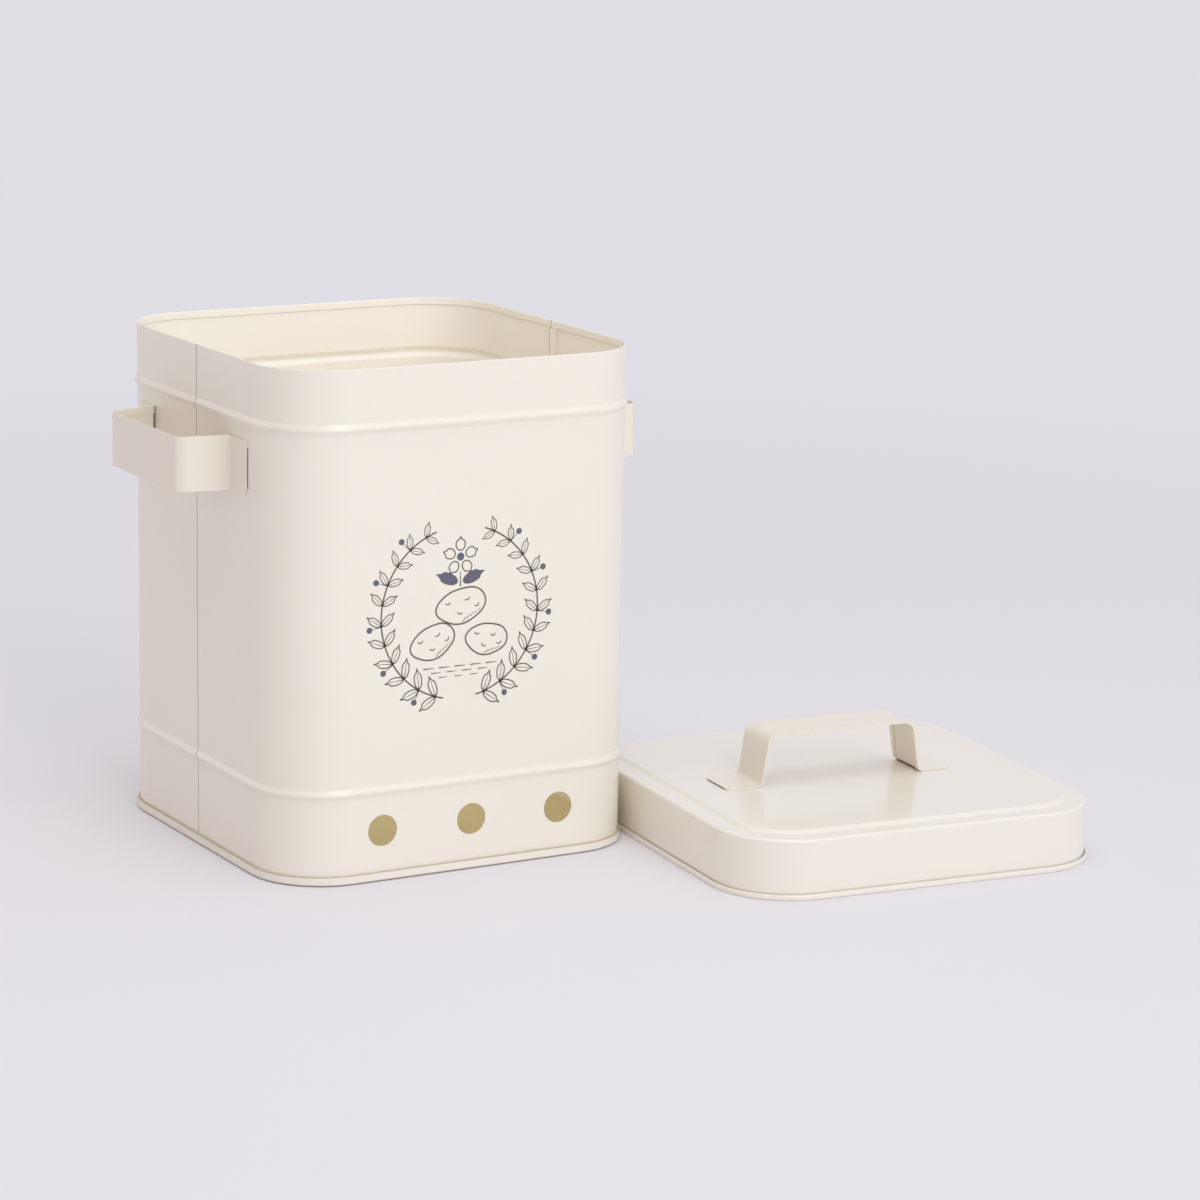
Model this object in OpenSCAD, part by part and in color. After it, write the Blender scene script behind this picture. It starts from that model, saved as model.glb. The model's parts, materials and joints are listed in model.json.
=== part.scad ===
// Potato storage bin in powder coated sheet steel, with a loose slip-on lid.
// Millimetres, +Z up. The origin is the middle of the bin's bottom, on the floor.
// The lid lies on the floor, right of the bin and a little in front of it.

/* [Body] */
// Width of the bin across its side walls
body_width = 221; // [200:1:260]
// Depth of the bin from front wall to rear wall
body_depth = 225; // [200:1:260]
// Height of the bin
body_height = 280; // [260:1:320]
// Outer radius of the upright corners
corner_radius = 40; // [30:1:50]
// Thickness of the steel sheet
sheet = 0.45; // [0.4:0.05:0.6]
// Clearance between folded layers of sheet
fold_gap = 0.05; // [0.04:0.01:0.08]

/* [Rim, beads and seams] */
// Depth of the hem that is folded inward at the rim
hem_depth = 4; // [3:0.5:6]
// Height of the upper bead's middle above the floor
upper_bead_height = 248; // [240:1:250]
// Height of the lower bead's middle above the floor
lower_bead_height = 50; // [45:1:80]
// Width of a bead, from one foot to the other
bead_width = 7; // [6.5:0.5:10]
// How far a bead stands out of the wall
bead_rise = 1.4; // [1.4:0.1:2]
// Height of the double seam that holds the base
base_seam_height = 5.4; // [5:0.1:6]
// Width of the lock seam in each side wall
lock_seam_width = 6; // [5:0.5:8]
// Width of the line that the lock seam leaves outside
seam_line = 0.4; // [0.2:0.05:0.4]

/* [Vent holes] */
// Number of vent holes in the front
vent_count = 3; // [1:1:3]
// Diameter of a vent hole
vent_diameter = 17.5; // [10:0.5:18]
// Distance between vent holes
vent_pitch = 54; // [40:0.5:55]
// Height of the vent holes above the floor
vent_height = 28; // [20:0.5:32]
// Shift of the row of vent holes toward the right
vent_shift = 1; // [0:0.5:3]

/* [Handle straps] */
// Width of the strap over its hems
strap_width = 30; // [24:1:32]
// Height of the bridge above the feet's mounting face
strap_rise = 30; // [26:1:34]
// Length of the strap from foot end to foot end
strap_length = 141; // [136:1:146]
// Length of the bridge between its bends
bridge_flat = 79; // [74:1:82]
// Lean of the legs outward from the bridge to the feet, in degrees
leg_lean = 8.5; // [0:0.5:10]
// Width of the hem on each long edge
strap_hem = 4; // [3:0.5:5]
// Radius of the bend between leg and bridge
bridge_bend = 7; // [5:0.5:8]
// Radius of the bend between leg and foot
foot_bend = 3; // [2:0.5:4]
// Radius of the feet's outer corners
foot_corner = 3; // [2:0.5:5]
// Height of the side handles' middle above the floor
side_handle_height = 222.5; // [200:0.5:224]
// Shift of the left handle toward the rear
left_handle_shift = 5; // [0:0.5:6]
// Shift of the right handle toward the rear
right_handle_shift = -1; // [-3:0.5:6]
// Shift of the lid handle toward the left
lid_handle_shift = 6; // [0:0.5:8]

/* [Lid] */
// How far the lid's skirt stands out past the bin's wall
lid_overhang = 1.5; // [1.4:0.1:1.7]
// Height of the lid's ledge
lid_height = 33.4; // [31:0.1:36]
// Rise of the lid's middle panel over the ledge
panel_rise = 1.8; // [1:0.1:3]
// Distance from the skirt to the foot of the panel's rise
ledge_width = 10; // [8:0.5:14]
// Width of the sloping rise around the panel
panel_slope = 4; // [3:0.5:6]
// Bend radius where the ledge turns down into the skirt
shoulder_bend = 1.5; // [1.5:0.5:4]
// How far the rolled edge stands out past the skirt
curl_rise = 1.7; // [1.5:0.1:2]
// Height of the straight part of the rolled edge
curl_straight = 1.3; // [0.4:0.1:1.6]
// Lid middle, right of the bin's middle
lid_right = 220.2; // [220.2:0.1:300]
// Lid middle, in front of the bin's middle
lid_front = 141.3; // [141.3:0.1:260]
// Turn of the lid on the floor, clockwise in degrees
lid_turn = 5.5; // [0:0.1:6]

/* [Hidden] */

$fn = 64;
eps = 0.01;
cream = [0.93, 0.91, 0.87];
cream_shade = [0.88, 0.86, 0.81];
half_width = body_width / 2;
half_depth = body_depth / 2;
layer = sheet + fold_gap;
fold_steps = 6;
bead_steps = 8;
finest_step = 0.001;

// Depth of a layer's outer face under the wall's outer face, and of its middle
function layer_face(number) = -number * layer;
function layer_middle(number) = layer_face(number) - sheet / 2;

// The lock seam stops short of the hem and of the base
lock_seam_top = body_height - hem_depth - fold_gap;
lock_seam_bottom = base_seam_height + 0.2;

// The base sheet runs flat under the wall, whose hook turns over one layer higher
seam_fold = 0.7;
wall_fold_centre = [layer_middle(0) + layer, 2 * layer + sheet / 2];
seam_top_centre = [layer_middle(0) + 2 * layer, base_seam_height - layer - sheet / 2];
base_panel_middle = base_seam_height - sheet;
countersink_bend = 1.2;

strap_thickness = 2 * sheet + fold_gap;
strap_end = strap_length / 2;
strap_edge = strap_width / 2;
bend_steps = 7;
bend_lead = 0.5;
fold_radius = strap_thickness / 2;
fold_parts = [0, 0.5, 0.85, 1];

// Side view of the left leg: where its outer face leaves the bridge's bend and meets the foot's bend
bridge_centre = [-bridge_flat / 2, strap_rise - bridge_bend];
leg_top = bridge_centre + bridge_bend * [-cos(leg_lean), sin(leg_lean)];
foot_centre_height = strap_thickness + foot_bend;
leg_length = (leg_top.y + foot_bend * sin(leg_lean) - foot_centre_height) / cos(leg_lean);
leg_foot = leg_top - leg_length * [sin(leg_lean), cos(leg_lean)];
foot_centre = leg_foot + foot_bend * [-cos(leg_lean), sin(leg_lean)];
bend_start = in_steps(foot_centre.x - bend_lead);

panel_height = lid_height + panel_rise;
skirt_middle = lid_overhang - sheet / 2;
curl_bend = curl_rise / 2;
curl_end_bend = 0.6;
curl_steps = 5;
curl_middle = curl_bend * cos(90 / curl_steps) + sheet / 2;

// Outlines of bent sheet

function unit(v) = v / norm(v);
function left_of(v) = [-v.y, v.x];
function arc(centre, radius, from, to, steps) =
    [for (i = [0 : steps]) let (a = from + (to - from) * i / steps) centre + radius * [cos(a), sin(a)]];

// Direction across a path at one of its points, long enough for a mitred corner
function across(path, i) =
    let (last = len(path) - 1,
         before = left_of(unit(path[max(i, 1)] - path[max(i, 1) - 1])),
         after = left_of(unit(path[min(i, last - 1) + 1] - path[min(i, last - 1)])))
    (before + after) / (1 + before * after);

// Outline points in whole steps, so that straight runs and corners meet exactly
function in_steps(value) = round(value / finest_step) * finest_step;
function stepped(points) = [for (p = points) [in_steps(p.x), in_steps(p.y)]];

function side(path, distance) =
    stepped([for (i = [0 : len(path) - 1]) path[i] + distance * across(path, i)]);
function reversed(list) = [for (i = [len(list) - 1 : -1 : 0]) list[i]];
function strip(path, thickness) = concat(side(path, thickness / 2), reversed(side(path, -thickness / 2)));
function shifted(path, distance) = [for (p = path) p + [distance, 0]];

// The wall's outer face over one bead, from its upper foot to its lower foot
function bead(middle) =
    stepped([for (i = [0 : bead_steps])
        [bead_rise * (1 - cos(360 * i / bead_steps)) / 2, middle + bead_width * (0.5 - i / bead_steps)]]);

bead_faces = concat(bead(upper_bead_height), bead(lower_bead_height));

// Middle of the sheet from the hem's edge over the rim to the outside
hem_path = concat(
    [[layer_middle(1), body_height - hem_depth]],
    arc([(layer_middle(0) + layer_middle(1)) / 2, body_height - layer / 2 - sheet / 2], layer / 2, 180, 0, fold_steps),
    [[layer_middle(0), body_height - hem_depth]]);

// Middle of the sheet from the wall's foot around to the edge of its hook
wall_hook_path = concat(
    [[layer_middle(0), wall_fold_centre.y + 1]],
    arc(wall_fold_centre, layer, 180, 360, fold_steps),
    [[layer_middle(0) + 2 * layer, seam_top_centre.y - fold_gap]]);

wall_outline = concat(
    side(hem_path, sheet / 2),
    bead_faces,
    side(wall_hook_path, sheet / 2),
    reversed(side(wall_hook_path, -sheet / 2)),
    reversed(shifted(bead_faces, -sheet)),
    reversed(side(hem_path, -sheet / 2)));

// Cut through the lock seam's sheets, from one depth under the wall's face to another
function seam_outline(outer, inner) =
    let (face = concat([[0, lock_seam_top]], bead_faces, [[0, lock_seam_bottom]]))
    concat(shifted(face, outer), reversed(shifted(face, inner)));

// Middle of the base sheet from the panel through the countersink and the seam to its inner edge
base_path = concat(
    [[-corner_radius, base_panel_middle]],
    arc([layer_middle(1) - countersink_bend, base_panel_middle - countersink_bend], countersink_bend, 90, 0, 4),
    arc([layer_middle(1) + seam_fold, sheet / 2 + seam_fold], seam_fold, 180, 270, 3),
    arc([layer_middle(0) + 3 * layer - seam_fold, sheet / 2 + seam_fold], seam_fold, 270, 360, 3),
    arc(seam_top_centre, layer, 0, 180, fold_steps),
    [[layer_middle(0) + layer, wall_fold_centre.y + 2 * fold_gap]]);

// Middle of the lid's sheet from the panel to the end of the rolled edge
lid_path = concat(
    [[-corner_radius, panel_height - sheet / 2]],
    [for (i = [0 : 6])
        [lid_overhang - ledge_width - panel_slope * (1 - i / 6),
         lid_height - sheet / 2 + panel_rise * (1 + cos(180 * i / 6)) / 2]],
    arc([skirt_middle - shoulder_bend, lid_height - sheet / 2 - shoulder_bend], shoulder_bend, 90, 0, 5),
    arc([skirt_middle + curl_bend, curl_middle], curl_bend, 180, 360, curl_steps),
    arc([skirt_middle + 2 * curl_bend - curl_end_bend, curl_middle + curl_straight],
        curl_end_bend, 0, 90, 3));

// Outer face of a strap's left half, seen from the side: the foot, and the rest up to the middle
foot_line = [[-strap_end, strap_thickness], [bend_start, strap_thickness]];
leg_line = concat(
    [[bend_start, strap_thickness]],
    arc(foot_centre, foot_bend, 270, 360 - leg_lean, bend_steps),
    arc(bridge_centre, bridge_bend, 180 - leg_lean, 90, bend_steps),
    [[0, strap_rise]]);

// Sheet between two depths under such an outer face
function under(line, from, to) = concat(side(line, -from), reversed(side(line, -to)));

// Runs and corners around a rounded rectangle. An outline's x is the distance out from the wall.

// Straight run on the right side, between two depths
module side_run(outline, from, to) {
    translate([half_width, to, 0])
        rotate([90, 0, 0])
            linear_extrude(to - from)
                polygon(outline);
}

// Straight run on the rear side, from the middle to the corner
module rear_run(outline) {
    rotate([0, 0, 90])
        translate([half_depth, 0, 0])
            rotate([90, 0, 0])
                linear_extrude(half_width - corner_radius)
                    polygon(outline);
}

// Quarter turn at the right rear corner
module rear_corner(outline) {
    translate([half_width - corner_radius, half_depth - corner_radius, 0])
        rotate_extrude(angle = 90)
            polygon(shifted(outline, corner_radius));
}

// Right rear quarter of the way around, with the side run cut off at a depth
module quarter(outline, from) {
    side_run(outline, from, half_depth - corner_radius);
    rear_corner(outline);
    rear_run(outline);
}

module both_sides() {
    children();
    mirror([1, 0, 0])
        children();
}

module front_and_rear() {
    children();
    mirror([0, 1, 0])
        children();
}

// Walls

// Front sheet's layers in the right lock seam: hook edge and inner layer
module front_lock() {
    edge = -seam_line / 2;
    side_run(seam_outline(-sheet, layer_face(2)), edge - sheet, edge);
    side_run(seam_outline(layer_face(2), layer_face(2) - sheet), -lock_seam_width, edge);
}

// Rear sheet's layers in the right lock seam: step, inner layer, hook edge and middle layer
module rear_lock() {
    edge = seam_line / 2;
    end = -lock_seam_width - fold_gap;
    side_run(seam_outline(-sheet, layer_face(3)), edge, edge + sheet);
    side_run(seam_outline(layer_face(3), layer_face(3) - sheet), end - sheet, edge + sheet);
    side_run(seam_outline(layer_face(1) - sheet, layer_face(3)), end - sheet, end);
    side_run(seam_outline(layer_face(1), layer_face(1) - sheet), end - sheet, -edge - sheet - fold_gap);
}

module front_wall() {
    color(cream)
        difference() {
            both_sides() {
                mirror([0, 1, 0])
                    quarter(wall_outline, seam_line / 2);
                front_lock();
            }
            for (i = [0 : vent_count - 1])
                translate([vent_shift + (i - (vent_count - 1) / 2) * vent_pitch, 0, vent_height])
                    rotate([90, 0, 0])
                        cylinder(d = vent_diameter, h = body_depth);
        }
}

module rear_wall() {
    color(cream)
        both_sides() {
            quarter(wall_outline, seam_line / 2);
            rear_lock();
        }
}

// Plate between the corner centres, at the height of a sheet's middle
module middle_plate(height) {
    translate([corner_radius - half_width, corner_radius - half_depth, height - sheet / 2])
        cube([body_width - 2 * corner_radius, body_depth - 2 * corner_radius, sheet]);
}

module base_panel() {
    color(cream_shade) {
        middle_plate(base_panel_middle);
        both_sides()
            front_and_rear()
                quarter(strip(base_path, sheet), 0);
    }
}

// Handle straps. Length along X, width along Y, feet on the plane Z = 0.

// Slab of a strap between two distances from its middle line, the same on its front and rear
module edge_slab(outline, from, to) {
    front_and_rear()
        translate([0, to, 0])
            rotate([90, 0, 0])
                linear_extrude(to - from)
                    polygon(outline);
}

// Strap along one line: face sheet, hem layers under it and the folds that join them
module strap_along(line) {
    fold_start = strap_edge - fold_radius;
    edge_slab(under(line, 0, sheet), 0, fold_start);
    edge_slab(under(line, layer, strap_thickness), strap_edge - strap_hem, fold_start);
    for (i = [0 : len(fold_parts) - 2]) {
        inner = in_steps(fold_radius * fold_parts[i]);
        outer = in_steps(fold_radius * fold_parts[i + 1]);
        half = sqrt(fold_radius * fold_radius - inner * inner);
        edge_slab(under(line, fold_radius - half, fold_radius + half), fold_start + inner, fold_start + outer);
    }
}

// Outline of a foot, seen along Z, with rounded outer corners
module foot_shape() {
    translate([foot_corner - strap_end, -strap_edge])
        square([strap_end, strap_width]);
    translate([-strap_end, foot_corner - strap_edge])
        square([2 * foot_corner, strap_width - 2 * foot_corner]);
    for (y = [foot_corner - strap_edge, strap_edge - foot_corner])
        translate([foot_corner - strap_end, y])
            circle(foot_corner);
}

// The foot is cut to shape at its far end
module foot() {
    intersection() {
        strap_along(foot_line);
        translate([0, 0, -eps])
            linear_extrude(strap_thickness + 2 * eps)
                foot_shape();
    }
}

module half_strap() {
    foot();
    strap_along(leg_line);
}

module strap() {
    both_sides()
        half_strap();
}

module on_right_side(shift) {
    translate([half_width, shift, side_handle_height])
        rotate([90, 0, 90])
            children();
}

module right_handle() {
    color(cream)
        on_right_side(right_handle_shift)
            strap();
}

module left_handle() {
    color(cream)
        mirror([1, 0, 0])
            on_right_side(left_handle_shift)
                strap();
}

// Lid, placed on the floor beside the bin

module at_lid() {
    translate([lid_right, -lid_front, 0])
        rotate([0, 0, -lid_turn])
            children();
}

module lid() {
    color(cream)
        at_lid() {
            middle_plate(panel_height - sheet / 2);
            both_sides()
                front_and_rear()
                    quarter(strip(lid_path, sheet), 0);
        }
}

module lid_handle() {
    color(cream)
        at_lid()
            translate([-lid_handle_shift, 0, panel_height])
                strap();
}

front_wall();
rear_wall();
base_panel();
left_handle();
right_handle();
lid();
lid_handle();
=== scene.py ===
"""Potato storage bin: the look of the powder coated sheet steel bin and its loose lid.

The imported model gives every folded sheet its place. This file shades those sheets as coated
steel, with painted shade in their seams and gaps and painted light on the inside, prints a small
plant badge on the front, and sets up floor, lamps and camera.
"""

import json
import logging
import math
from dataclasses import dataclass, field, replace
from enum import Enum
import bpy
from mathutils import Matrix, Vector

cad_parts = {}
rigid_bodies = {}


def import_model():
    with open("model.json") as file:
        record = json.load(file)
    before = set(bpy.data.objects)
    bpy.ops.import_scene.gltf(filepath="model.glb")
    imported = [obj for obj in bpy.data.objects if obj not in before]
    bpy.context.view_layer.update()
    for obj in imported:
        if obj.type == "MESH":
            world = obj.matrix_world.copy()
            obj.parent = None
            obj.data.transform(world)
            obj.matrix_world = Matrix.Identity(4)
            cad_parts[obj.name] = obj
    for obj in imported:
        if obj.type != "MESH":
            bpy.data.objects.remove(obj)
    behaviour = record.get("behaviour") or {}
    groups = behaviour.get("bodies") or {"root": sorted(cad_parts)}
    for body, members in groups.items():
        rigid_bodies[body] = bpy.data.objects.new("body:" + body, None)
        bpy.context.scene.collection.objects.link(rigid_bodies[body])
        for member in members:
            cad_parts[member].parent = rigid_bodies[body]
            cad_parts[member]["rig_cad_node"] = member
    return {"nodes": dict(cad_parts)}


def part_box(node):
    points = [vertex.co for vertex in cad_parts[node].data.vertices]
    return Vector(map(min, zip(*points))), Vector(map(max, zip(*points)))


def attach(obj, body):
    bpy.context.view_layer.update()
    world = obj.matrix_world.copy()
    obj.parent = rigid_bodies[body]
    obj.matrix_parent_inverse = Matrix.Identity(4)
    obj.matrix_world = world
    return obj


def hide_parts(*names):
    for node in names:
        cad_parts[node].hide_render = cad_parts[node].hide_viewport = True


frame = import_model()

from types import TracebackType
from typing import Callable, Optional, Sequence

import bpy
from mathutils import Matrix, Vector

LOG = logging.getLogger("storage_bin")
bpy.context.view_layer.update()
MM = 0.001
TOP_LEVEL = 255
SRGB_KNEE = 0.04045
SRGB_SLOPE = 12.92
SRGB_OFFSET = 0.055
SRGB_SCALE = 1.055
SRGB_POWER = 2.4

Colour = tuple[float, float, float]
Point = tuple[float, float, float]


class Body(Enum):
    """The two bodies that move apart."""

    BIN = "bin"
    LID = "lid"


class Slot(Enum):
    """The record's material slots."""

    BODY = "body_coat"
    STRAP = "strap_coat"
    LID = "lid_coat"


def linear(red: float, green: float, blue: float) -> Colour:
    """Turns a display colour into the linear one that shaders take.

    Args:
        red: Red, 0 to 255.
        green: Green, 0 to 255.
        blue: Blue, 0 to 255.

    Returns:
        The colour in linear light, 0 to 1.
    """
    def channel(value: float) -> float:
        """Turns one channel.

        Args:
            value: The channel, 0 to 255.

        Returns:
            Its linear light, 0 to 1.
        """
        share = value / TOP_LEVEL
        if share <= SRGB_KNEE:
            return share / SRGB_SLOPE
        return ((share + SRGB_OFFSET) / SRGB_SCALE) ** SRGB_POWER

    return channel(red), channel(green), channel(blue)


class Editing:
    """Edit mode on one object, left again at the end of a with block."""

    def __init__(self, obj: bpy.types.Object) -> None:
        """Remembers the object.

        Args:
            obj: The mesh object to edit.
        """
        self.obj = obj

    def __enter__(self) -> "Editing":
        """Enters edit mode with nothing else selected."""
        pick_only(self.obj)
        bpy.ops.object.mode_set(mode="EDIT")
        return self

    def __exit__(
        self,
        kind: Optional[type[BaseException]],
        error: Optional[BaseException],
        trace: Optional[TracebackType],
    ) -> None:
        """Leaves edit mode."""
        bpy.ops.object.mode_set(mode="OBJECT")

    def choose(self, wanted: Callable[[Vector], bool]) -> None:
        """Selects the vertices at the wanted places and no others.

        Args:
            wanted: Says for a vertex's place if it is selected.
        """
        bpy.ops.mesh.select_mode(type="VERT")
        bpy.ops.mesh.select_all(action="DESELECT")
        bpy.ops.object.mode_set(mode="OBJECT")
        for vertex in self.obj.data.vertices:
            vertex.select = wanted(vertex.co)
        bpy.ops.object.mode_set(mode="EDIT")


def pick_only(obj: bpy.types.Object) -> None:
    """Makes one object the only selected and the active one.

    Args:
        obj: The object to pick.
    """
    bpy.ops.object.select_all(action="DESELECT")
    obj.select_set(True)
    bpy.context.view_layer.objects.active = obj


def place(obj: bpy.types.Object, matrix: Matrix) -> None:
    """Moves an object's mesh to its place, with the object itself left at the origin.

    Args:
        obj: The finished object.
        matrix: Where its mesh goes.
    """
    obj.data.transform(matrix)
    obj.data.update()


def copied(shape: bpy.types.Object) -> bpy.types.Object:
    """Adds a copy of an object and of its mesh to the scene.

    Args:
        shape: The object to copy.

    Returns:
        The copy.
    """
    copy = shape.copy()
    copy.data = shape.data.copy()
    bpy.context.scene.collection.objects.link(copy)
    return copy


def join(name: str, parts: Sequence[bpy.types.Object]) -> bpy.types.Object:
    """Joins parts to one object at the origin.

    Args:
        name: Name of the joined object.
        parts: The parts, which are used up.

    Returns:
        The joined object.
    """
    bpy.ops.object.select_all(action="DESELECT")
    for part in parts:
        part.select_set(True)
    bpy.context.view_layer.objects.active = parts[0]
    bpy.ops.object.join()
    bpy.ops.object.transform_apply(location=True, rotation=True, scale=True)
    joined = bpy.context.view_layer.objects.active
    joined.name = name
    joined.data.name = name
    return joined


@dataclass(frozen=True)
class NodeChain:
    """Short names for the calls that build a node tree."""

    tree: bpy.types.NodeTree

    def add(self, kind: str, **values: object) -> bpy.types.Node:
        """Adds a node and sets its properties.

        Args:
            kind: Blender's type name of the node.
            **values: Properties to set on it.

        Returns:
            The new node.
        """
        node = self.tree.nodes.new(kind)
        for key, value in values.items():
            setattr(node, key, value)
        return node

    def link(self, source: bpy.types.NodeSocket, target: bpy.types.NodeSocket) -> None:
        """Joins an output to an input."""
        self.tree.links.new(source, target)

    def maths(
        self,
        operation: str,
        first: bpy.types.NodeSocket | float,
        second: bpy.types.NodeSocket | float,
        third: bpy.types.NodeSocket | float = 0.0,
    ) -> bpy.types.NodeSocket:
        """Adds one step of arithmetic.

        Args:
            operation: Blender's name of the operation.
            first: First operand, a socket or a number.
            second: Second operand.
            third: Third operand, which only some operations read.

        Returns:
            The result's socket.
        """
        node = self.add("ShaderNodeMath", operation=operation)
        for socket, value in zip(node.inputs, (first, second, third)):
            if isinstance(value, bpy.types.NodeSocket):
                self.link(value, socket)
            else:
                socket.default_value = value
        return node.outputs[0]

    def noise(
        self,
        place: bpy.types.NodeSocket,
        scale: bpy.types.NodeSocket | float,
        detail: float,
    ) -> bpy.types.NodeSocket:
        """Adds a noise pattern.

        Args:
            place: Socket with the place on the object.
            scale: Waves in a metre, a socket or a number.
            detail: Levels of finer waves.

        Returns:
            The pattern's value, about 0.5 on average.
        """
        node = self.add("ShaderNodeTexNoise")
        self.link(place, node.inputs["Vector"])
        if isinstance(scale, bpy.types.NodeSocket):
            self.link(scale, node.inputs["Scale"])
        else:
            node.inputs["Scale"].default_value = scale
        node.inputs["Detail"].default_value = detail
        return node.outputs["Fac"]

    def blended(
        self,
        share: bpy.types.NodeSocket,
        low: bpy.types.NodeSocket,
        high: bpy.types.NodeSocket,
    ) -> bpy.types.NodeSocket:
        """Blends two colours.

        Args:
            share: Share of the second colour.
            low: First colour's socket.
            high: Second colour's socket.

        Returns:
            The blended colour's socket.
        """
        node = self.add("ShaderNodeMix", data_type="RGBA")
        colours = [s for s in node.inputs if s.type == "RGBA"]
        self.link(share, node.inputs[0])
        self.link(low, colours[0])
        self.link(high, colours[1])
        return next(s for s in node.outputs if s.type == "RGBA")

    def tone(self, colour: Colour) -> bpy.types.NodeSocket:
        """Adds one plain colour.

        Args:
            colour: The colour in linear light.

        Returns:
            The colour's socket.
        """
        socket = self.add("ShaderNodeRGB").outputs[0]
        socket.default_value = (*colour, 1.0)
        return socket

    def mixed(
        self,
        share: bpy.types.NodeSocket,
        first: bpy.types.NodeSocket,
        second: bpy.types.NodeSocket,
    ) -> bpy.types.NodeSocket:
        """Mixes two shaders.

        Args:
            share: Share of the second shader.
            first: First shader's socket.
            second: Second shader's socket.

        Returns:
            The mixed shader's socket.
        """
        node = self.add("ShaderNodeMixShader")
        for socket, source in zip(node.inputs, (share, first, second)):
            self.link(source, socket)
        return node.outputs[0]


class SurfaceGroup:
    """Shared pattern of a coated or printed surface, built once."""

    NAME = "coated_surface"
    INPUTS = (
        ("Place", "NodeSocketVector", None),
        ("Colour", "NodeSocketColor", (0.8, 0.8, 0.8, 1.0)),
        ("Tinge", "NodeSocketColor", (0.7, 0.7, 0.7, 1.0)),
        ("Roughness", "NodeSocketFloat", 0.4),
        ("Roughness Drift", "NodeSocketFloat", 0.05),
        ("Drift Scale", "NodeSocketFloat", 8.0),
        ("Peel Scale", "NodeSocketFloat", 500.0),
    )
    OUTPUTS = (
        ("Colour", "NodeSocketColor"),
        ("Roughness", "NodeSocketFloat"),
        ("Height", "NodeSocketFloat"),
    )
    DRIFT_DETAIL = 2.0
    DRIFT_MIDDLE = 0.5
    PEEL_DETAIL = 1.0
    FINE_PER_PEEL = 3.6
    FINE_SHARE = 0.3

    @classmethod
    def tree(cls) -> bpy.types.NodeTree:
        """Finds the group, or builds it at the first call."""
        return bpy.data.node_groups.get(cls.NAME) or cls._build()

    @classmethod
    def _build(cls) -> bpy.types.NodeTree:
        """Builds the group.

        Returns:
            A group that gives colour, roughness and height over the surface.
        """
        tree = bpy.data.node_groups.new(cls.NAME, "ShaderNodeTree")
        for name, kind, value in cls.INPUTS:
            socket = tree.interface.new_socket(name, in_out="INPUT", socket_type=kind)
            if value is not None:
                socket.default_value = value
        for name, kind in cls.OUTPUTS:
            tree.interface.new_socket(name, in_out="OUTPUT", socket_type=kind)
        chain = NodeChain(tree)
        given = chain.add("NodeGroupInput").outputs
        result = chain.add("NodeGroupOutput").inputs
        drift = chain.noise(given["Place"], given["Drift Scale"], cls.DRIFT_DETAIL)
        chain.link(chain.blended(drift, given["Colour"], given["Tinge"]), result["Colour"])
        centred = chain.maths("SUBTRACT", drift, cls.DRIFT_MIDDLE)
        rough = chain.maths("MULTIPLY_ADD", centred, given["Roughness Drift"], given["Roughness"])
        chain.link(rough, result["Roughness"])
        coarse = chain.noise(given["Place"], given["Peel Scale"], cls.PEEL_DETAIL)
        fine_scale = chain.maths("MULTIPLY", given["Peel Scale"], cls.FINE_PER_PEEL)
        fine = chain.noise(given["Place"], fine_scale, cls.PEEL_DETAIL)
        chain.link(chain.maths("MULTIPLY_ADD", fine, cls.FINE_SHARE, coarse), result["Height"])
        return tree


@dataclass(frozen=True)
class PaintedShadeLine:
    """A line of painted shade across one axis of the object, standing in for the shadow in a gap
    between layers of sheet and, at the base, the shadow where the bin stands on the floor.

    Place and width are in metres along the axis. The line shows only over the height that
    is called above.
    """

    axis: str
    place: float
    width: float
    strength: float
    above: float = -1.0

    def mask(self, chain: NodeChain, coords: bpy.types.NodeSocket) -> bpy.types.NodeSocket:
        """Marks the line of painted shade on the surface.

        Args:
            chain: Builder of the material's tree.
            coords: Socket with the place on the object.

        Returns:
            Share of the shade, greatest in the middle of the line.
        """
        axes = chain.add("ShaderNodeSeparateXYZ")
        chain.link(coords, axes.inputs[0])
        away = chain.maths("SUBTRACT", axes.outputs[self.axis], self.place)
        share = chain.maths("DIVIDE", away, self.width / 2)
        line = chain.maths("SUBTRACT", 1.0, chain.maths("MULTIPLY", share, share))
        above = chain.maths("GREATER_THAN", axes.outputs["Z"], self.above)
        full = chain.maths("MULTIPLY", chain.maths("MAXIMUM", line, 0.0), above)
        return chain.maths("MULTIPLY", full, self.strength)


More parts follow.
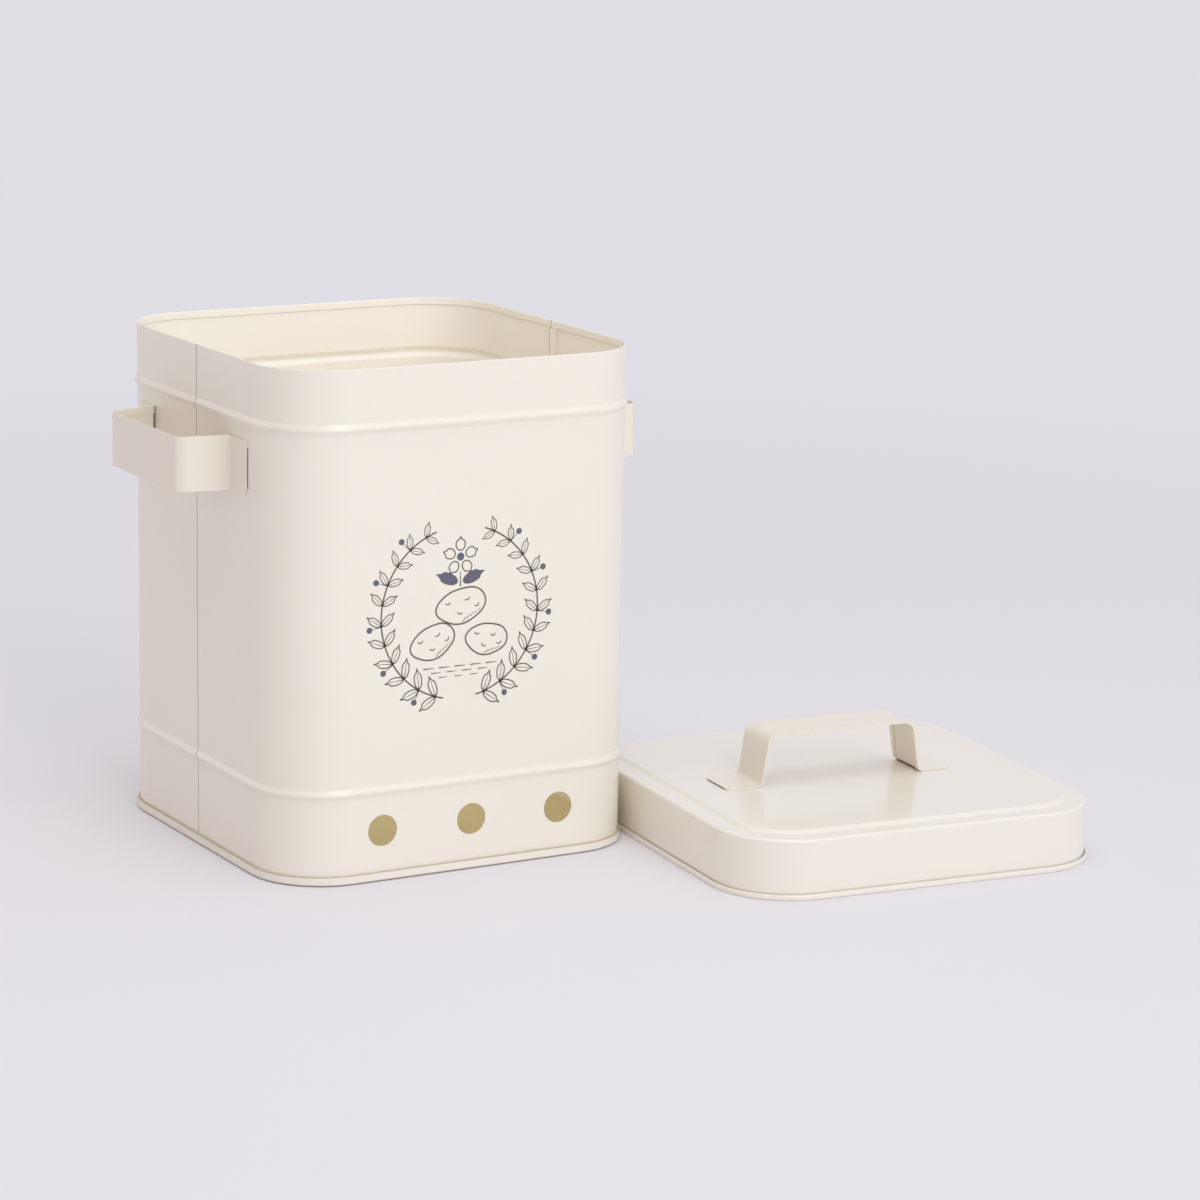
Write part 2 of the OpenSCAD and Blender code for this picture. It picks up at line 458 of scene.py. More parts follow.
@dataclass(frozen=True)
class Finish:
    """A coated or printed finish with slow drifts of tone, a fine skin and lines of painted shade.

    Scales are in waves to the metre, and the height of the skin's peel is in metres.
    """

    name: str
    colour: Colour
    tinge: Colour
    roughness: float = 0.36
    roughness_drift: float = 0.06
    drift_scale: float = 7.0
    peel_scale: float = 420.0
    peel_height: float = 0.00002
    peel_strength: float = 0.25
    coat_weight: float = 0.1
    coat_roughness: float = 0.14
    # Lines of painted shade, each blended toward the shade colour below, stand in for the shadows
    # in gaps between sheets.
    painted_shade_lines: tuple[PaintedShadeLine, ...] = ()
    painted_crease_shade: Colour = linear(136, 124, 112)

    def material(self) -> bpy.types.Material:
        """Builds the material, or finds it again.

        Returns:
            A Principled material fed by the shared surface group.
        """
        known = bpy.data.materials.get(self.name)
        if known is not None:
            return known
        made = bpy.data.materials.new(self.name)
        made.use_nodes = True
        made.diffuse_color = (*self.colour, 1.0)
        chain = NodeChain(made.node_tree)
        shader = made.node_tree.nodes["Principled BSDF"].inputs
        surface = chain.add("ShaderNodeGroup", node_tree=SurfaceGroup.tree())
        coords = chain.add("ShaderNodeTexCoord").outputs["Object"]
        chain.link(coords, surface.inputs["Place"])
        surface.inputs["Colour"].default_value = (*self.colour, 1.0)
        surface.inputs["Tinge"].default_value = (*self.tinge, 1.0)
        surface.inputs["Roughness"].default_value = self.roughness
        surface.inputs["Roughness Drift"].default_value = self.roughness_drift
        surface.inputs["Drift Scale"].default_value = self.drift_scale
        surface.inputs["Peel Scale"].default_value = self.peel_scale
        bump = chain.add("ShaderNodeBump")
        bump.inputs["Strength"].default_value = self.peel_strength
        bump.inputs["Distance"].default_value = self.peel_height
        chain.link(surface.outputs["Height"], bump.inputs["Height"])
        colour = surface.outputs["Colour"]
        # Paints shade into the colour along each line.
        for crease in self.painted_shade_lines:
            shade = chain.tone(self.painted_crease_shade)
            colour = chain.blended(crease.mask(chain, coords), colour, shade)
        chain.link(colour, shader["Base Color"])
        chain.link(surface.outputs["Roughness"], shader["Roughness"])
        chain.link(bump.outputs["Normal"], shader["Normal"])
        shader["Coat Weight"].default_value = self.coat_weight
        shader["Coat Roughness"].default_value = self.coat_roughness
        return made


# Lines of painted shade: the shadows in the side seams, under the inner hem's edge, above the lid's
# rolled edge and at the top of the base seam, and the painted contact shadow where the base seam
# stands on the floor.
SIDE_SEAM_SHADE = PaintedShadeLine("Y", 0.0, 0.8 * MM, 1.0, above=5.8 * MM)
HEM_EDGE_SHADE = PaintedShadeLine("Z", 275.8 * MM, 0.8 * MM, 0.25)
ROLLED_EDGE_SHADE = PaintedShadeLine("Z", 3.6 * MM, 1.0 * MM, 0.2)
BASE_LIP_SHADE = PaintedShadeLine("Z", 5.2 * MM, 0.9 * MM, 0.7)
BASE_FOOT_SHADOW = PaintedShadeLine("Z", 0.1 * MM, 2.4 * MM, 1.0)
CREAM = Finish(
    "cream_powder_coat",
    linear(241, 236, 224),
    linear(238, 233, 220),
    coat_weight=0.5,
    painted_shade_lines=(SIDE_SEAM_SHADE,),
)
# The base coat carries painted shade at the base seam's top and a painted contact shadow at its
# foot.
BASE_CREAM = replace(CREAM, name="cream_base_coat", painted_shade_lines=(BASE_LIP_SHADE, BASE_FOOT_SHADOW))
# The inside coat is paler than the outer coat: the extra paleness is painted light for the light
# that bounces around inside the bin. It also carries the painted shade of the side seams and the
# hem edge.
INNER_CREAM_AND_BOUNCE = Finish(
    "inner_coat_and_painted_bounce_light",
    linear(254, 251, 243),
    linear(253, 250, 240),
    painted_shade_lines=(SIDE_SEAM_SHADE, HEM_EDGE_SHADE),
)
# The base's inside is painted darker and yellower than the coat, as painted shade and warm bounced
# light at the bottom of the deep bin.
FLOOR_PAINTED_SHADE = Finish("inner_base_painted_shade", linear(216, 202, 158), linear(211, 196, 152))
STRAP_CREAM = Finish(
    "cream_strap_coat", linear(238, 232, 219), linear(235, 228, 213), coat_weight=0.35
)
# Near-black painted shade on the faces under the straps' feet, standing in for the shadow in the
# thin slit between strap and sheet.
STRAP_UNDER_SHADE = Finish(
    "strap_underside_painted_shade", linear(74, 67, 57), linear(64, 58, 49), roughness=0.6
)
LID_CREAM = Finish(
    "cream_lid_coat",
    linear(241, 236, 225),
    linear(239, 233, 221),
    roughness=0.3,
    coat_weight=0.8,
    coat_roughness=0.12,
    painted_shade_lines=(ROLLED_EDGE_SHADE,),
)
LINE_INK = Finish(
    "grey_line_ink",
    linear(92, 86, 80),
    linear(110, 103, 96),
    roughness=0.5,
    peel_scale=900.0,
    drift_scale=160.0,
)
SPOT_INK = replace(
    LINE_INK, name="slate_spot_ink", colour=linear(90, 90, 108), tinge=linear(102, 102, 118)
)


@dataclass
class CoatedSheet:
    """One folded sheet, shaded as smooth bends between flat faces.

    The limits of a face's normal, from -1 to 1, tell which faces look inward, up from the
    base, or back at the sheet that a strap is welded to. The under gap is how far those
    last ones stand off the strap's lowest point.
    """

    name: str
    node: str
    body: Body
    slot: Slot
    finish: Finish
    # Finish of the faces turned away: painted bounce light inside the walls, painted shade on the
    # base's inside and under strap feet.
    inner_finish: Optional[Finish] = None
    outward: Optional[Point] = None
    inward_below: float = -0.3
    floor_above: float = 0.9
    under_below: float = -0.9
    under_gap: tuple[float, float] = (0.2 * MM, 0.7 * MM)
    merge_distance: float = 0.001 * MM
    smooth_below: float = math.radians(50)

    def turned_away(self, mesh: bpy.types.Mesh) -> list[bool]:
        """Tells for each face if it has the inner finish, which paints bounce light on the walls'
        inside and shade on the base's inside and under the straps' feet.

        Args:
            mesh: Mesh of the sheet.

        Returns:
            True for a wall's faces that look at the bin's inside, for the upper faces of
            the base, and for those under a strap's feet that look at the sheet it is
            welded to.
        """
        if self.node == "base_panel":
            return [face.normal.z > self.floor_above for face in mesh.polygons]
        if self.outward is None:
            return [self.leans_inward(face) for face in mesh.polygons]
        way = Vector(self.outward)
        lowest = min(vertex.co.dot(way) for vertex in mesh.vertices)
        near, far = self.under_gap
        return [
            face.normal.dot(way) < self.under_below
            and near < face.center.dot(way) - lowest < far
            for face in mesh.polygons
        ]

    def leans_inward(self, face: bpy.types.MeshPolygon) -> bool:
        """Tells if a face looks toward the upright line through the bin's middle."""
        outward = Vector((face.center.x, face.center.y, 0)).normalized()
        return face.normal.dot(outward) < self.inward_below

    def build(self) -> bpy.types.Object:
        """Copies the node's mesh, joins its loose faces and smooths its bends.

        Returns:
            The finished sheet, riding on its body in the node's place.
        """
        pick_only(frame["nodes"][self.node])
        bpy.ops.object.duplicate()
        sheet = bpy.context.view_layer.objects.active
        del sheet["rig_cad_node"]
        sheet.name = self.name
        sheet.data.name = self.name
        with Editing(sheet):
            bpy.ops.mesh.select_all(action="SELECT")
            bpy.ops.mesh.remove_doubles(threshold=self.merge_distance)
        if sheet.data.has_custom_normals:
            bpy.ops.mesh.customdata_custom_splitnormals_clear()
        bpy.ops.object.shade_smooth_by_angle(angle=self.smooth_below)
        modifier = sheet.modifiers.new("even_faces", "WEIGHTED_NORMAL")
        modifier.keep_sharp = True
        bpy.ops.object.modifier_apply(modifier=modifier.name)
        sheet.data.materials.clear()
        sheet.data.materials.append(self.finish.material())
        if self.inner_finish is not None:
            sheet.data.materials.append(self.inner_finish.material())
            for face, inner in zip(sheet.data.polygons, self.turned_away(sheet.data)):
                face.material_index = int(inner)
        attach(sheet, self.body.value)
        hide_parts(self.node)
        LOG.info("%s: %d faces on body %s", self.name, len(sheet.data.polygons), self.body.value)
        return sheet


def strap(name: str, node: str, body: Body, outward: Point) -> CoatedSheet:
    """Describes one of the three welded straps.

    Args:
        name: Name of the piece.
        node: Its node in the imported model.
        body: The body it is welded to.
        outward: The way it stands off the sheet under it.

    Returns:
        The strap.
    """
    # The faces under its feet take a near-black painted shade for the slit between strap and sheet.
    return CoatedSheet(name, node, body, Slot.STRAP, STRAP_CREAM, STRAP_UNDER_SHADE, outward)


@dataclass
class SheetAssembly:
    """Sheets that move as one body, built in order."""

    sheets: list[CoatedSheet]

    def build(self) -> list[bpy.types.Object]:
        """Builds the sheets."""
        return [sheet.build() for sheet in self.sheets]


@dataclass
class BinBody(SheetAssembly):
    """The bin itself: two walls, the base and the side straps."""

    sheets: list[CoatedSheet] = field(
        default_factory=lambda: [
            CoatedSheet("front_sheet", "front_wall", Body.BIN, Slot.BODY, CREAM, INNER_CREAM_AND_BOUNCE),
            CoatedSheet("rear_sheet", "rear_wall", Body.BIN, Slot.BODY, CREAM, INNER_CREAM_AND_BOUNCE),
            CoatedSheet("base_sheet", "base_panel", Body.BIN, Slot.BODY, BASE_CREAM, FLOOR_PAINTED_SHADE),
            strap("left_strap", "left_handle", Body.BIN, (-1, 0, 0)),
            strap("right_strap", "right_handle", Body.BIN, (1, 0, 0)),
        ]
    )


@dataclass
class LooseLid(SheetAssembly):
    """The lid that lies beside the bin, with its strap."""

    sheets: list[CoatedSheet] = field(
        default_factory=lambda: [
            CoatedSheet("lid_sheet", "lid", Body.LID, Slot.LID, LID_CREAM),
            strap("lid_strap", "lid_handle", Body.LID, (0, 0, 1)),
        ]
    )


class Pen(Enum):
    """Widths of the badge's lines, as multiples of its plain line."""

    RIB = 0.8
    FINE = 0.9
    PLAIN = 1.0
    SOIL = 1.1
    BOLD = 1.3
    STEM = 1.6


@dataclass(frozen=True)
class WreathPlan:
    """Sizes of the badge's wreath, in millimetres and degrees."""

    radius: float = 47.5
    start: float = -78.0
    end: float = 72.0
    leaves_a_side: int = 11
    first_leaf: float = 0.4
    leaf: tuple[float, float] = (13.0, 5.2)
    leaf_shrink: float = 0.03
    leaf_leans: tuple[float, float] = (38.0, 142.0)
    rib_share: float = 0.72
    berry: float = 3.4
    berry_corners: int = 20
    berry_reach: float = 7.2
    stalk: float = 6.0
    stalk_lean: float = 6.0
    leaves_a_berry: int = 2


@dataclass(frozen=True)
class TuberPlan:
    """Place, heading and size of one of the badge's tubers, in millimetres and degrees."""

    spot: tuple[float, float]
    angle: float
    length: float
    width: float

    def at(self, across: float, up: float) -> tuple[float, float]:
        """Finds a place on the tuber.

        Args:
            across: Share of its length from its middle.
            up: Share of its width from its middle.

        Returns:
            The place on the badge.
        """
        turn = Matrix.Rotation(math.radians(self.angle), 2)
        return tuple(Vector(self.spot) + turn @ Vector((across * self.length, up * self.width)))


@dataclass(frozen=True)
class TuberMarks:
    """Eyes and shading of a tuber. Places are shares of its length and width.

    Each eye has its place across, its place up and its turn in degrees.
    """

    eye_radius: float = 1.5
    eye_start: float = 200.0
    eye_end: float = 340.0
    eyes: tuple[tuple[float, float, float], ...] = (
        (-0.24, 0.18, 0),
        (0.12, 0.22, 20),
        (-0.02, -0.12, -15),
        (0.29, 0.02, 30),
    )
    dash: float = 4.6
    dashes: int = 5
    dash_from: tuple[float, float] = (0.02, -0.4)
    dash_step: tuple[float, float] = (0.075, 0.055)
    dash_lean: float = 48.0
    dash_size: float = 0.75
    dash_shrink: float = 0.07


@dataclass(frozen=True)
class BlossomPlan:
    """Sizes of the badge's blossom, in millimetres and degrees."""

    top: tuple[float, float] = (0.0, 30.5)
    petals: int = 5
    petal: tuple[float, float] = (8.6, 6.2)
    petal_out: float = 2.9
    heart: float = 4.4
    heart_corners: int = 24
    leaf: tuple[float, float] = (15.0, 6.4)
    leaf_spot: tuple[float, float] = (1.2, 16.5)
    leaf_lean: float = 22.0
    stem: float = 11.0
    stem_size: float = 0.75
    stem_foot: tuple[float, float] = (0.0, 14.2)


@dataclass(frozen=True)
class GroundPlan:
    """Rows of short strokes of soil under the tubers, in millimetres."""

    rows: tuple[int, ...] = (5, 4, 3)
    dash: float = 6.5
    spacing: float = 9.5
    back: float = 3.0
    height: float = -29.5
    row_drop: float = 2.7
    row_shrink: float = 0.12


@dataclass
class PlantBadge:
    """Printed badge on the front: a wreath of two sprigs around three tubers and a blossom.

    It is drawn flat in millimetres around its own middle, and then stood against the wall.
    The beads rise over the flat wall by the bead rise. The ink stands out from that wall by
    the film's thickness, and its back is sunk into it.
    """

    middle_right: float = -7.1
    middle_height: float = 144.0
    bead_rise: float = 1.4
    film: float = 0.1
    sunk: float = 0.02
    line: float = 0.65
    tuber_corners: int = 40
    wreath: WreathPlan = WreathPlan()
    tubers: tuple[TuberPlan, ...] = (
        TuberPlan((-16.5, -15.5), 12, 29, 20),
        TuberPlan((16.0, -16.5), -14, 27, 19),
        TuberPlan((0.5, 3.0), 4, 32, 21),
    )
    marks: TuberMarks = TuberMarks()
    blossom: BlossomPlan = BlossomPlan()
    ground: GroundPlan = GroundPlan()
    lines: list[bpy.types.Object] = field(default_factory=list)
    spots: list[bpy.types.Object] = field(default_factory=list)

    def pen(self, kind: Pen) -> float:
        """Gives the width of a kind of line, in millimetres."""
        return self.line * kind.value

    def mirrored(self, heading: float, side: int) -> float:
        """Keeps a heading in degrees for side 1, and mirrors it for side -1."""
        return heading if side > 0 else 180 - heading

    def outline(self, obj: bpy.types.Object, width: float) -> None:
        """Leaves only a line of the given width along a flat face's edge.

        Args:
            obj: Object with one flat face.
            width: Width of the line, in millimetres.
        """
        with Editing(obj):
            bpy.ops.mesh.select_all(action="SELECT")
            bpy.ops.mesh.inset(thickness=width, depth=0)
            bpy.ops.mesh.delete(type="FACE")

    def disc(self, length: float, width: float, corners: int = 32) -> bpy.types.Object:
        """Adds a flat oval face.

        Args:
            length: Its size along X.
            width: Its size along Y.
            corners: Number of its corners.

        Returns:
            The oval.
        """
        bpy.ops.object.select_all(action="DESELECT")
        bpy.ops.mesh.primitive_circle_add(vertices=corners, radius=0.5, fill_type="NGON")
        oval = bpy.context.view_layer.objects.active
        with Editing(oval):
            bpy.ops.mesh.select_all(action="SELECT")
            bpy.ops.transform.resize(value=(length, width, 1))
        return oval

    def leaf(self, length: float, width: float) -> bpy.types.Object:
        """Draws a pointed leaf face along +X, with its stalk end at the origin.

        Args:
            length: Length of the leaf.
            width: Greatest width of the leaf.

        Returns:
            The leaf's face.
        """
        shoulder, shoulder_width = length * 0.3, 0.62
        point, point_width = length * 0.4, 0.3
        point_out, stalk_out = length * 0.09, length * 0.46
        oval_length = length * 0.86
        blade = self.disc(oval_length, width)
        with Editing(blade) as edit:
            edit.choose(lambda p: p.x > shoulder)
            bpy.ops.transform.resize(value=(1, shoulder_width, 1))
            edit.choose(lambda p: p.x > point)
            bpy.ops.transform.translate(value=(point_out, 0, 0))
            bpy.ops.transform.resize(value=(1, point_width, 1))
            bpy.ops.mesh.select_all(action="SELECT")
            bpy.ops.transform.translate(value=(stalk_out, 0, 0))
        return blade

    def stroke(self, length: float, width: float) -> bpy.types.Object:
        """Draws a straight stroke along +X that thins toward its far end.

        Args:
            length: Length of the stroke.
            width: Width at its start.

        Returns:
            The stroke.
        """
        far_width = 0.4
        bpy.ops.object.select_all(action="DESELECT")
        bpy.ops.mesh.primitive_plane_add(size=1)
        mark = bpy.context.view_layer.objects.active
        with Editing(mark) as edit:
            bpy.ops.mesh.select_all(action="SELECT")
            bpy.ops.transform.resize(value=(length, width, 1))
            bpy.ops.transform.translate(value=(length / 2, 0, 0))
            edit.choose(lambda p: p.x > length / 2)
            bpy.ops.transform.resize(value=(1, far_width, 1))
        return mark

    def arc(self, radius: float, start: float, end: float, width: float) -> bpy.types.Object:
        """Draws an arc around the origin.

        Args:
            radius: Radius of the arc's middle.
            start: Angle at its start, in degrees.
            end: Angle at its end, in degrees.
            width: Width of the line.

        Returns:
            The arc.
        """
        fewest_steps, degrees_a_step = 4, 4
        steps = max(fewest_steps, int(abs(end - start) / degrees_a_step))
        bpy.ops.object.select_all(action="DESELECT")
        bpy.ops.mesh.primitive_plane_add(size=width, location=(0, 0, 0))
        mark = bpy.context.view_layer.objects.active
        with Editing(mark) as edit:
            edit.choose(lambda p: p.y > 0)
            bpy.ops.mesh.delete(type="VERT")
            bpy.ops.mesh.select_all(action="SELECT")
            bpy.ops.transform.translate(value=(radius, width / 2, 0))
            bpy.ops.mesh.spin(
                steps=steps, angle=math.radians(start - end), center=(0, 0, 0), axis=(0, 0, 1)
            )
        place(mark, Matrix.Rotation(math.radians(start), 4, "Z"))
        return mark

    def tuber(self, length: float, width: float) -> bpy.types.Object:
        """Draws the face of a slightly bent tuber.

        Args:
            length: Length of the tuber.
            width: Width of the tuber.

        Returns:
            The tuber's face.
        """
        bend_from, bend = length * 0.2, width * 0.1
        thin_from, thin_width = -length * 0.25, 0.86
        belly_length = 1.04
        body = self.disc(length, width, self.tuber_corners)
        with Editing(body) as edit:
            edit.choose(lambda p: p.x > bend_from)
            bpy.ops.transform.translate(value=(0, bend, 0))
            edit.choose(lambda p: p.x < thin_from)
            bpy.ops.transform.resize(value=(1, thin_width, 1))
            edit.choose(lambda p: p.y < 0)
            bpy.ops.transform.resize(value=(belly_length, 1, 1))
            bpy.ops.mesh.select_all(action="SELECT")
            bpy.ops.mesh.vertices_smooth(factor=0.5, repeat=6)
        return body

    def put(
        self,
        shape: bpy.types.Object,
        spot: tuple[float, float],
        angle: float = 0.0,
        size: float = 1.0,
        filled: bool = False,
    ) -> None:
        """Adds a copy of a shape to the badge.

        Args:
            shape: The shape to copy.
            spot: Where its origin goes.
            angle: How far it turns, in degrees.
            size: How much it grows.
            filled: True for slate ink, false for grey ink.
        """
        copy = copied(shape)
        turn = Matrix.Rotation(math.radians(angle), 4, "Z")
        place(copy, Matrix.Translation((*spot, 0)) @ turn @ Matrix.Scale(size, 4))
        (self.spots if filled else self.lines).append(copy)

    def drop(self, *shapes: bpy.types.Object) -> None:
        """Removes shapes that have been copied."""
        for shape in shapes:
            bpy.data.objects.remove(shape)

    def draw_wreath(self) -> None:
        """Draws two leafy sprigs that meet at the bottom and stay open at the top."""
        plan = self.wreath
        outlined = self.leaf(*plan.leaf)
        self.outline(outlined, self.pen(Pen.PLAIN))
        rib = self.stroke(plan.leaf[0] * plan.rib_share, self.pen(Pen.RIB))
        berry = self.disc(plan.berry, plan.berry, plan.berry_corners)
        stalk = self.stroke(plan.stalk, self.pen(Pen.FINE))
        stem = self.arc(plan.radius, plan.start, plan.end, self.pen(Pen.BOLD))
        reach = plan.end - plan.start
        for number in range(plan.leaves_a_side):
            turn = plan.start + reach * (number + plan.first_leaf) / plan.leaves_a_side
            middle = Matrix.Rotation(math.radians(turn), 2) @ Vector((plan.radius, 0))
            size = 1.0 - plan.leaf_shrink * number
            for lean in plan.leaf_leans:
                for side in (1, -1):
                    spot = (middle.x * side, middle.y)
                    angle = self.mirrored(turn + lean, side)
                    self.put(outlined, spot, angle, size)
                    self.put(rib, spot, angle, size)
            if number % plan.leaves_a_berry == 1:
                for side in (1, -1):
                    heading = self.mirrored(turn - plan.stalk_lean, side)
                    spot = Vector((middle.x * side, middle.y))
                    way = Matrix.Rotation(math.radians(heading), 2) @ Vector((plan.berry_reach, 0))
                    self.put(stalk, tuple(spot), heading)
                    self.put(berry, tuple(spot + way), filled=True)
        self.put(stem, (0, 0))
        flipped = copied(stem)
        place(flipped, Matrix.Diagonal((-1, 1, 1, 1)))
        flipped.data.flip_normals()
        self.lines.append(flipped)
        self.drop(outlined, rib, berry, stalk, stem)

    def draw_tubers(self) -> None:
        """Draws three tubers with eyes and a little shading."""
        marks = self.marks
        eye = self.arc(marks.eye_radius, marks.eye_start, marks.eye_end, self.pen(Pen.FINE))
        dash = self.stroke(marks.dash, self.pen(Pen.FINE))
        for plan in self.tubers:
            shape = self.tuber(plan.length, plan.width)
            self.outline(shape, self.pen(Pen.BOLD))
            self.put(shape, plan.spot, plan.angle)
            for across, up, turn in marks.eyes:
                self.put(eye, plan.at(across, up), plan.angle + turn)
            for count in range(marks.dashes):
                across = marks.dash_from[0] + marks.dash_step[0] * count
                up = marks.dash_from[1] + marks.dash_step[1] * count
                size = marks.dash_size - marks.dash_shrink * count
                self.put(dash, plan.at(across, up), plan.angle + marks.dash_lean, size)
            self.drop(shape)
        self.drop(eye, dash)

    def draw_blossom(self) -> None:
        """Draws a five-petalled blossom on a short stem between two leaves."""
        plan = self.blossom
        petal = self.leaf(*plan.petal)
        self.outline(petal, self.pen(Pen.PLAIN))
        heart = self.disc(plan.heart, plan.heart, plan.heart_corners)
        leaf = self.leaf(*plan.leaf)
        stem = self.stroke(plan.stem, self.pen(Pen.STEM))
        for number in range(plan.petals):
            turn = 90 + 360 / plan.petals * number
            out = Matrix.Rotation(math.radians(turn), 2) @ Vector((plan.petal_out, 0))
            self.put(petal, (plan.top[0] + out.x, plan.top[1] + out.y), turn)
        self.put(heart, plan.top, filled=True)
        self.put(stem, plan.stem_foot, 90, plan.stem_size)
        for side in (1, -1):
            spot = (side * plan.leaf_spot[0], plan.leaf_spot[1])
            self.put(leaf, spot, self.mirrored(plan.leaf_lean, side), filled=True)
        self.drop(petal, heart, leaf, stem)

    def draw_ground(self) -> None:
        """Draws short strokes of soil under the tubers."""
        plan = self.ground
        dash = self.stroke(plan.dash, self.pen(Pen.SOIL))
        for row, count in enumerate(plan.rows):
            for number in range(count):
                across = (number - (count - 1) / 2) * plan.spacing
                spot = (across - plan.back, plan.height - plan.row_drop * row)
                self.put(dash, spot, 0, 1 - plan.row_shrink * row)
        self.drop(dash)

    def stand(self, name: str, parts: list[bpy.types.Object], finish: Finish) -> bpy.types.Object:
        """Joins parts, gives them the thickness of ink and stands them on the wall.

        Args:
            name: Name of the piece.
            parts: Its flat shapes.
            finish: The ink.

        Returns:
            The finished piece, riding on the bin.
        """
        ink = join(name, parts)
        with Editing(ink):
            bpy.ops.mesh.select_all(action="SELECT")
            bpy.ops.mesh.normals_make_consistent(inside=False)
        thicken = ink.modifiers.new("film", "SOLIDIFY")
        thicken.thickness = self.film + self.sunk
        thicken.offset = 0
        pick_only(ink)
        bpy.ops.object.modifier_apply(modifier=thicken.name)
        with Editing(ink):
            bpy.ops.mesh.select_all(action="SELECT")
            bpy.ops.mesh.normals_make_consistent(inside=False)
        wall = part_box("front_wall")[0].y + self.bead_rise * MM
        upright = Matrix.Rotation(math.radians(90), 4, "X")
        depth = wall - (self.film - self.sunk) / 2 * MM
        spot = Matrix.Translation((self.middle_right * MM, depth, self.middle_height * MM))
        place(ink, spot @ upright @ Matrix.Scale(MM, 4))
        ink.data.materials.clear()
        ink.data.materials.append(finish.material())
        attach(ink, Body.BIN.value)
        LOG.info("%s: %d faces on body %s", name, len(ink.data.polygons), Body.BIN.value)
        return ink

    def build(self) -> list[bpy.types.Object]:
        """Draws the badge and stands it on the front wall.

        Returns:
            The grey lines and the slate spots.
        """
        self.draw_wreath()
        self.draw_tubers()
        self.draw_blossom()
        self.draw_ground()
        return [
            self.stand("badge_lines", self.lines, LINE_INK),
            self.stand("badge_spots", self.spots, SPOT_INK),
        ]


@dataclass(frozen=True)
class SoftLamp:
    """A square area lamp that looks at a point."""

    name: str
    place: Point
    target: Point
    side: float
    power: float
    colour: Colour = (1.0, 1.0, 1.0)

    def build(self) -> None:
        """Adds the lamp to the scene."""
        data = bpy.data.lights.new(self.name, "AREA")
        data.shape = "SQUARE"
        data.size = self.side
        data.energy = self.power
        data.color = self.colour
        lamp = bpy.data.objects.new(self.name, data)
        bpy.context.scene.collection.objects.link(lamp)
        lamp.location = self.place
        aim = Vector(self.target) - Vector(self.place)
        lamp.rotation_euler = aim.to_track_quat("-Z", "Y").to_euler()


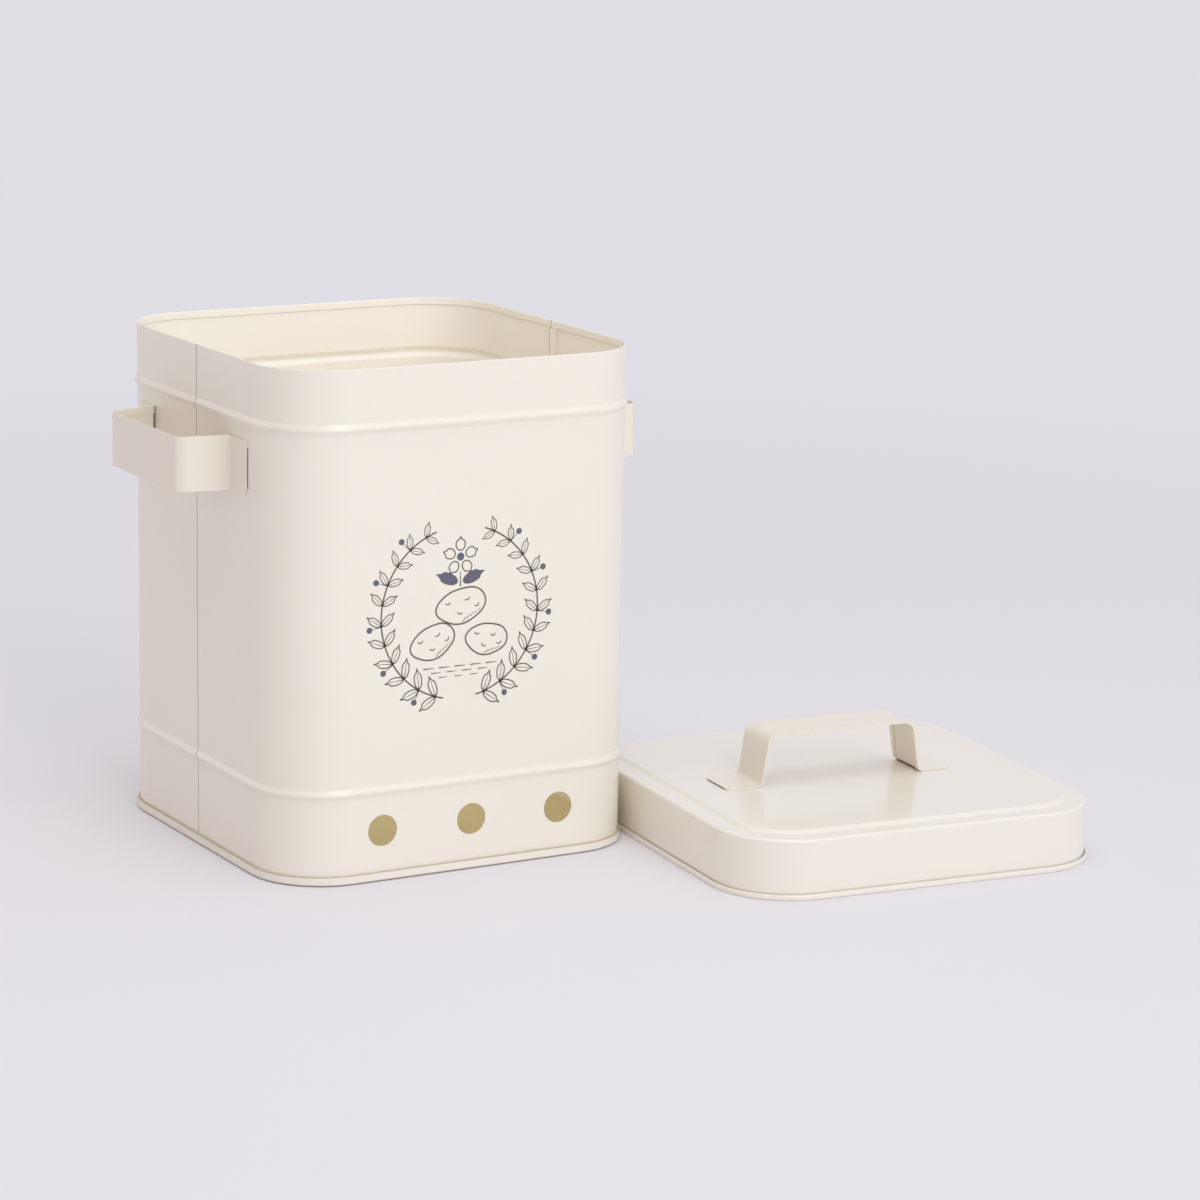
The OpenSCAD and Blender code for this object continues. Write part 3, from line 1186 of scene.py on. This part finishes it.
@dataclass
class Studio:
    """Floor, lamps, world and camera.

    With distance, the floor that is seen turns from lit paper to the backdrop's even colour:
    by steady_near at the middle, and by steady_per_metre with each metre. The sky's light
    blends two colours. The right one's share is sky_middle straight up or ahead, and changes
    by sky_slope with the direction's X.
    """

    backdrop: Colour = linear(224, 222, 229)
    paper: Colour = linear(230, 229, 233)
    floor_side: float = 60.0
    steady_near: float = 0.05
    steady_per_metre: float = 0.6
    sky_light: float = 0.72
    sky_right: Colour = (1.0, 1.0, 1.035)
    sky_left: Colour = (0.67, 0.53, 0.49)
    sky_middle: float = 1.0
    sky_slope: float = 0.9
    light_bounces: int = 12
    camera_place: Point = (-1.013953, -2.005291, 0.622253)
    camera_turn: Point = (1.35471, -0.01677, -0.52024)
    focal_pixels: float = 4082.29
    frame_pixels: float = 1200.0
    sensor: float = 36.0
    lamps: tuple[SoftLamp, ...] = (
        SoftLamp("key_lamp", (0.1, -2.65, 1.35), (0.05, 0.0, 0.12), 1.6, 24.5, (0.97, 0.98, 0.995)),
        SoftLamp("top_lamp", (-0.3, -0.4, 2.4), (0.1, 0.0, 0.0), 1.6, 12.0),
        SoftLamp("side_lamp", (-0.9, 0.95, 0.4), (-0.11, 0.1, 0.12), 0.7, 0.9, (1.0, 0.92, 0.87)),
    )

    def sees_backdrop(self, chain: NodeChain) -> bpy.types.NodeSocket:
        """Marks the rays that show the backdrop: the camera's own and those of reflections."""
        rays = chain.add("ShaderNodeLightPath").outputs
        return chain.maths("MAXIMUM", rays["Is Camera Ray"], rays["Is Glossy Ray"])

    def build_floor(self) -> None:
        """Lays a pale seamless floor that keeps the object's soft shadow."""
        bpy.ops.object.select_all(action="DESELECT")
        bpy.ops.mesh.primitive_plane_add(size=self.floor_side)
        floor = bpy.context.view_layer.objects.active
        floor.name = "studio_floor"
        material = bpy.data.materials.new("studio_floor_paper")
        material.use_nodes = True
        nodes = material.node_tree.nodes
        nodes.clear()
        chain = NodeChain(material.node_tree)
        paper = chain.add("ShaderNodeBsdfDiffuse")
        paper.inputs["Color"].default_value = (*self.paper, 1.0)
        glow = chain.add("ShaderNodeEmission")
        glow.inputs["Color"].default_value = (*self.backdrop, 1.0)
        away = chain.add("ShaderNodeVectorMath", operation="LENGTH")
        chain.link(chain.add("ShaderNodeTexCoord").outputs["Object"], away.inputs[0])
        metres = away.outputs["Value"]
        steady = chain.maths("MULTIPLY_ADD", metres, self.steady_per_metre, self.steady_near)
        capped = chain.maths("MINIMUM", steady, 1.0)
        share = chain.maths("MULTIPLY", self.sees_backdrop(chain), capped)
        surface = chain.mixed(share, paper.outputs[0], glow.outputs[0])
        chain.link(surface, chain.add("ShaderNodeOutputMaterial").inputs["Surface"])
        floor.data.materials.append(material)

    def build_world(self) -> None:
        """Lights the scene evenly and shows the backdrop's colour to the camera."""
        world = bpy.data.worlds.new("studio_world")
        bpy.context.scene.world = world
        world.use_nodes = True
        world.node_tree.nodes.clear()
        chain = NodeChain(world.node_tree)
        sky = chain.add("ShaderNodeBackground")
        across = chain.add("ShaderNodeSeparateXYZ")
        chain.link(chain.add("ShaderNodeTexCoord").outputs["Generated"], across.inputs[0])
        side = across.outputs["X"]
        rightward = chain.maths("MULTIPLY_ADD", side, self.sky_slope, self.sky_middle)
        left, right = chain.tone(self.sky_left), chain.tone(self.sky_right)
        chain.link(chain.blended(rightward, left, right), sky.inputs["Color"])
        sky.inputs["Strength"].default_value = self.sky_light
        seen = chain.add("ShaderNodeBackground")
        seen.inputs["Color"].default_value = (*self.backdrop, 1.0)
        surface = chain.mixed(self.sees_backdrop(chain), sky.outputs[0], seen.outputs[0])
        chain.link(surface, chain.add("ShaderNodeOutputWorld").inputs["Surface"])

    def build_camera(self) -> None:
        """Sets up the camera at the photograph's place and angle."""
        data = bpy.data.cameras.new("studio_camera")
        data.sensor_width = self.sensor
        data.lens = self.focal_pixels / self.frame_pixels * self.sensor
        camera = bpy.data.objects.new("studio_camera", data)
        bpy.context.scene.collection.objects.link(camera)
        camera.location = self.camera_place
        camera.rotation_euler = self.camera_turn
        bpy.context.scene.camera = camera

    def build(self) -> None:
        """Builds the whole studio."""
        self.build_floor()
        self.build_world()
        for lamp in self.lamps:
            lamp.build()
        self.build_camera()
        scene = bpy.context.scene
        scene.view_settings.view_transform = "Standard"
        scene.cycles.max_bounces = self.light_bounces
        scene.cycles.diffuse_bounces = self.light_bounces


def main() -> None:
    """Builds the bin, its lid, the badge and the studio, in that order."""
    logging.basicConfig(level=logging.INFO, format="%(message)s")
    for piece in BinBody().build() + LooseLid().build() + PlantBadge().build():
        LOG.info("ready: %s", piece.name)
    Studio().build()


if __name__ == "__main__":
    main()
